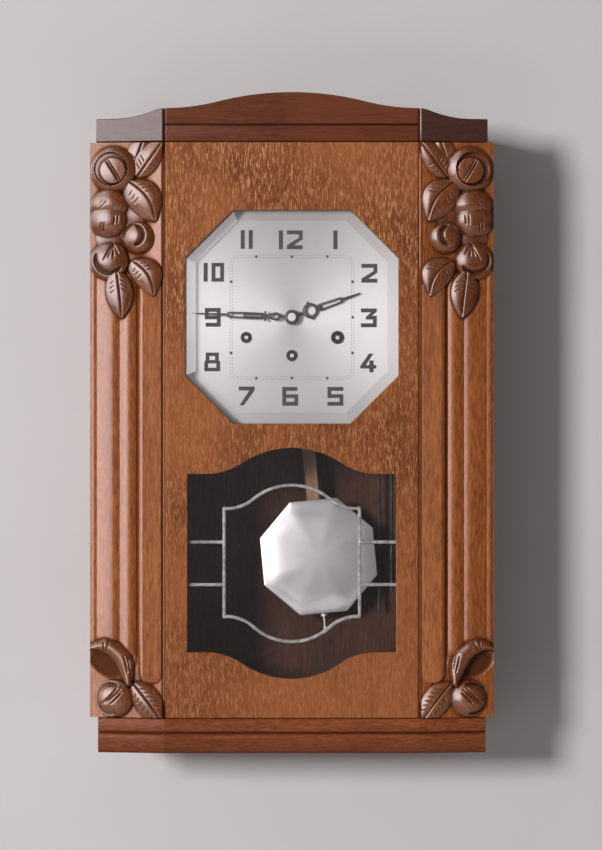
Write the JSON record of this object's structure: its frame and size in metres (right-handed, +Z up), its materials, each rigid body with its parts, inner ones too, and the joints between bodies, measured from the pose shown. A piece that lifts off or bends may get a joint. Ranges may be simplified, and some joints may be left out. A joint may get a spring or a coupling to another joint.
{
  "type": "wall clock",
  "caption": "Spring-driven chiming wall clock in a carved wooden case, with an eight-sided silvered dial, a leaded window over its pendulum and a hinged front.",
  "frame": {"origin": "centre of the hanging hole in the hanger plate, in the plane of the wall", "axes": "+X to the viewer's right, +Y into the wall, +Z up; the front faces -Y"},
  "size_m": [0.3794, 0.1517, 0.62],
  "materials": {
    "panel_wood": "waxed open-pored veneer, golden brown, upright grain",
    "carved_wood": "waxed solid wood, reeded and carved, darker in the hollows",
    "red_wood": "waxed red-brown wood, level grain",
    "case_wood": "stained boards",
    "pale_wood": "plain planed wood",
    "bevelled_glass": "clear, bevelled and polished",
    "window_glass": "clear",
    "lead": "dull silvery lead",
    "silvered_brass": "silvered and spun",
    "dial_ink": "matt dark print",
    "blued_steel": "blued, polished",
    "brass": "lacquered",
    "steel": "ground",
    "polished_bob": "mirror polished",
    "cast_block": "painted"
  },
  "bodies": {
    "case": {"back_board": "case_wood", "side_boards": "case_wood", "top_board": "case_wood", "bottom_board": "case_wood", "crown_centre": "red_wood", "crown_wings": "red_wood", "plinth": "red_wood", "hanger_plate": "steel", "case_screws": "steel", "movement_rails": "pale_wood", "gong_block": "cast_block", "gong_rods": "steel", "dial_plate": "silvered_brass", "dial_feet": "brass", "dial_numerals": "dial_ink", "winding_grommets": "blued_steel", "front_plate": "brass", "back_plate": "brass", "plate_pillars": "brass", "suspension_cock": "brass", "hammer_frame": "steel", "hinge_case_leaves": "brass", "hinge_pins": "steel"},
    "minute": {"minute_hand": "blued_steel", "hand_nut": "blued_steel", "centre_wheel": "brass", "cannon_pinion": "brass"},
    "hour": {"hour_hand": "blued_steel", "hour_wheel": "brass"},
    "motion_wheel": {"minute_wheel": "brass"},
    "intermediate": {"intermediate_wheel": "brass"},
    "third": {"third_wheel": "brass"},
    "escape": {"escape_wheel": "brass"},
    "time_drum": {"time_barrel": "brass"},
    "strike_drum": {"strike_barrel": "brass"},
    "chime_drum": {"chime_barrel": "brass"},
    "time_arbor": {"time_winding_arbor": "steel"},
    "strike_arbor": {"strike_winding_arbor": "steel"},
    "chime_arbor": {"chime_winding_arbor": "steel"},
    "pallets": {"anchor": "steel"},
    "pendulum": {"suspension_spring": "steel", "pendulum_rod": "pale_wood", "pendulum_bob": "polished_bob", "rating_nut": "brass"},
    "door": {"door_panel": "panel_wood", "left_pilaster": "carved_wood", "right_pilaster": "carved_wood", "upper_carvings": "carved_wood", "lower_carvings": "carved_wood", "dial_glass": "bevelled_glass", "window_panes": "window_glass", "window_cames": "lead", "glass_beads": "pale_wood", "hinge_door_leaves": "brass", "hook_keeper": "brass"},
    "hook": {"door_hook": "brass"},
    "hammer_1": {"hammer_1": "brass"},
    "hammer_2": {"hammer_2": "brass"},
    "hammer_3": {"hammer_3": "brass"},
    "hammer_4": {"hammer_4": "brass"}
  },
  "joints": [
    {"name": "minute_hand_turn", "type": "hinge", "parent": "case", "child": "minute", "pos_m": [0, -0.09, -0.1237], "axis": [0, 1, 0], "continuous": true},
    {"name": "hour_hand_turn", "type": "hinge", "parent": "case", "child": "hour", "pos_m": [0, -0.09, -0.1237], "axis": [0, 1, 0], "continuous": true},
    {"name": "motion_wheel_turn", "type": "hinge", "parent": "case", "child": "motion_wheel", "pos_m": [0, -0.09, -0.1097], "axis": [0, 1, 0], "continuous": true},
    {"name": "intermediate_turn", "type": "hinge", "parent": "case", "child": "intermediate", "pos_m": [0.01488, -0.09, -0.13936], "axis": [0, 1, 0], "continuous": true},
    {"name": "third_turn", "type": "hinge", "parent": "case", "child": "third", "pos_m": [-0.014, -0.09, -0.1097], "axis": [0, 1, 0], "continuous": true},
    {"name": "escape_turn", "type": "hinge", "parent": "case", "child": "escape", "pos_m": [-0.00372, -0.09, -0.09744], "axis": [0, 1, 0], "continuous": true},
    {"name": "time_drum_turn", "type": "hinge", "parent": "case", "child": "time_drum", "pos_m": [0, -0.09, -0.1597], "axis": [0, 1, 0], "continuous": true},
    {"name": "strike_drum_turn", "type": "hinge", "parent": "case", "child": "strike_drum", "pos_m": [-0.043, -0.09, -0.1427], "axis": [0, 1, 0], "continuous": true},
    {"name": "chime_drum_turn", "type": "hinge", "parent": "case", "child": "chime_drum", "pos_m": [0.043, -0.09, -0.1427], "axis": [0, 1, 0], "continuous": true},
    {"name": "time_winding", "type": "hinge", "parent": "case", "child": "time_arbor", "pos_m": [0, -0.09, -0.1597], "axis": [0, 1, 0], "continuous": true},
    {"name": "strike_winding", "type": "hinge", "parent": "case", "child": "strike_arbor", "pos_m": [-0.043, -0.09, -0.1427], "axis": [0, 1, 0], "continuous": true},
    {"name": "chime_winding", "type": "hinge", "parent": "case", "child": "chime_arbor", "pos_m": [0.043, -0.09, -0.1427], "axis": [0, 1, 0], "continuous": true},
    {"name": "pendulum_swing", "type": "hinge", "parent": "case", "child": "pendulum", "pos_m": [0, -0.0375, -0.0807], "axis": [0, 1, 0], "range_deg": [-1.14, 11.86]},
    {"name": "anchor_rock", "type": "hinge", "parent": "case", "child": "pallets", "pos_m": [0, -0.0375, -0.0807], "axis": [0, 1, 0], "range_deg": [-1.14, 11.86]},
    {"name": "door_swing", "type": "hinge", "parent": "case", "child": "door", "pos_m": [0.1805, -0.1205, -0.23], "axis": [0, 0, 1], "range_deg": [0, 110]},
    {"name": "hook_turn", "type": "hinge", "parent": "case", "child": "hook", "pos_m": [-0.1785, -0.1, -0.23], "axis": [-1, 0, 0], "range_deg": [0, 90]},
    {"name": "hammer_1_lift", "type": "hinge", "parent": "case", "child": "hammer_1", "pos_m": [0.084, -0.046, -0.0637], "axis": [-1, 0, 0], "range_deg": [0, 20], "stiffness_Nm_per_rad": 0.02, "springref_deg": -22.92},
    {"name": "hammer_2_lift", "type": "hinge", "parent": "case", "child": "hammer_2", "pos_m": [0.096, -0.046, -0.0637], "axis": [-1, 0, 0], "range_deg": [0, 20], "stiffness_Nm_per_rad": 0.02, "springref_deg": -22.92},
    {"name": "hammer_3_lift", "type": "hinge", "parent": "case", "child": "hammer_3", "pos_m": [0.108, -0.046, -0.0637], "axis": [-1, 0, 0], "range_deg": [0, 20], "stiffness_Nm_per_rad": 0.02, "springref_deg": -22.92},
    {"name": "hammer_4_lift", "type": "hinge", "parent": "case", "child": "hammer_4", "pos_m": [0.12, -0.046, -0.0637], "axis": [-1, 0, 0], "range_deg": [0, 20], "stiffness_Nm_per_rad": 0.02, "springref_deg": -22.92}
  ],
  "couplings": [
    {"joint": "hour_hand_turn", "follows": "minute_hand_turn", "ratio": 0.083333},
    {"joint": "motion_wheel_turn", "follows": "minute_hand_turn", "ratio": -0.33333},
    {"joint": "intermediate_turn", "follows": "minute_hand_turn", "ratio": -0.2},
    {"joint": "time_drum_turn", "follows": "minute_hand_turn", "ratio": 0.033333},
    {"joint": "third_turn", "follows": "minute_hand_turn", "ratio": -10},
    {"joint": "escape_turn", "follows": "minute_hand_turn", "ratio": 90},
    {"joint": "anchor_rock", "follows": "pendulum_swing", "ratio": 1}
  ]
}
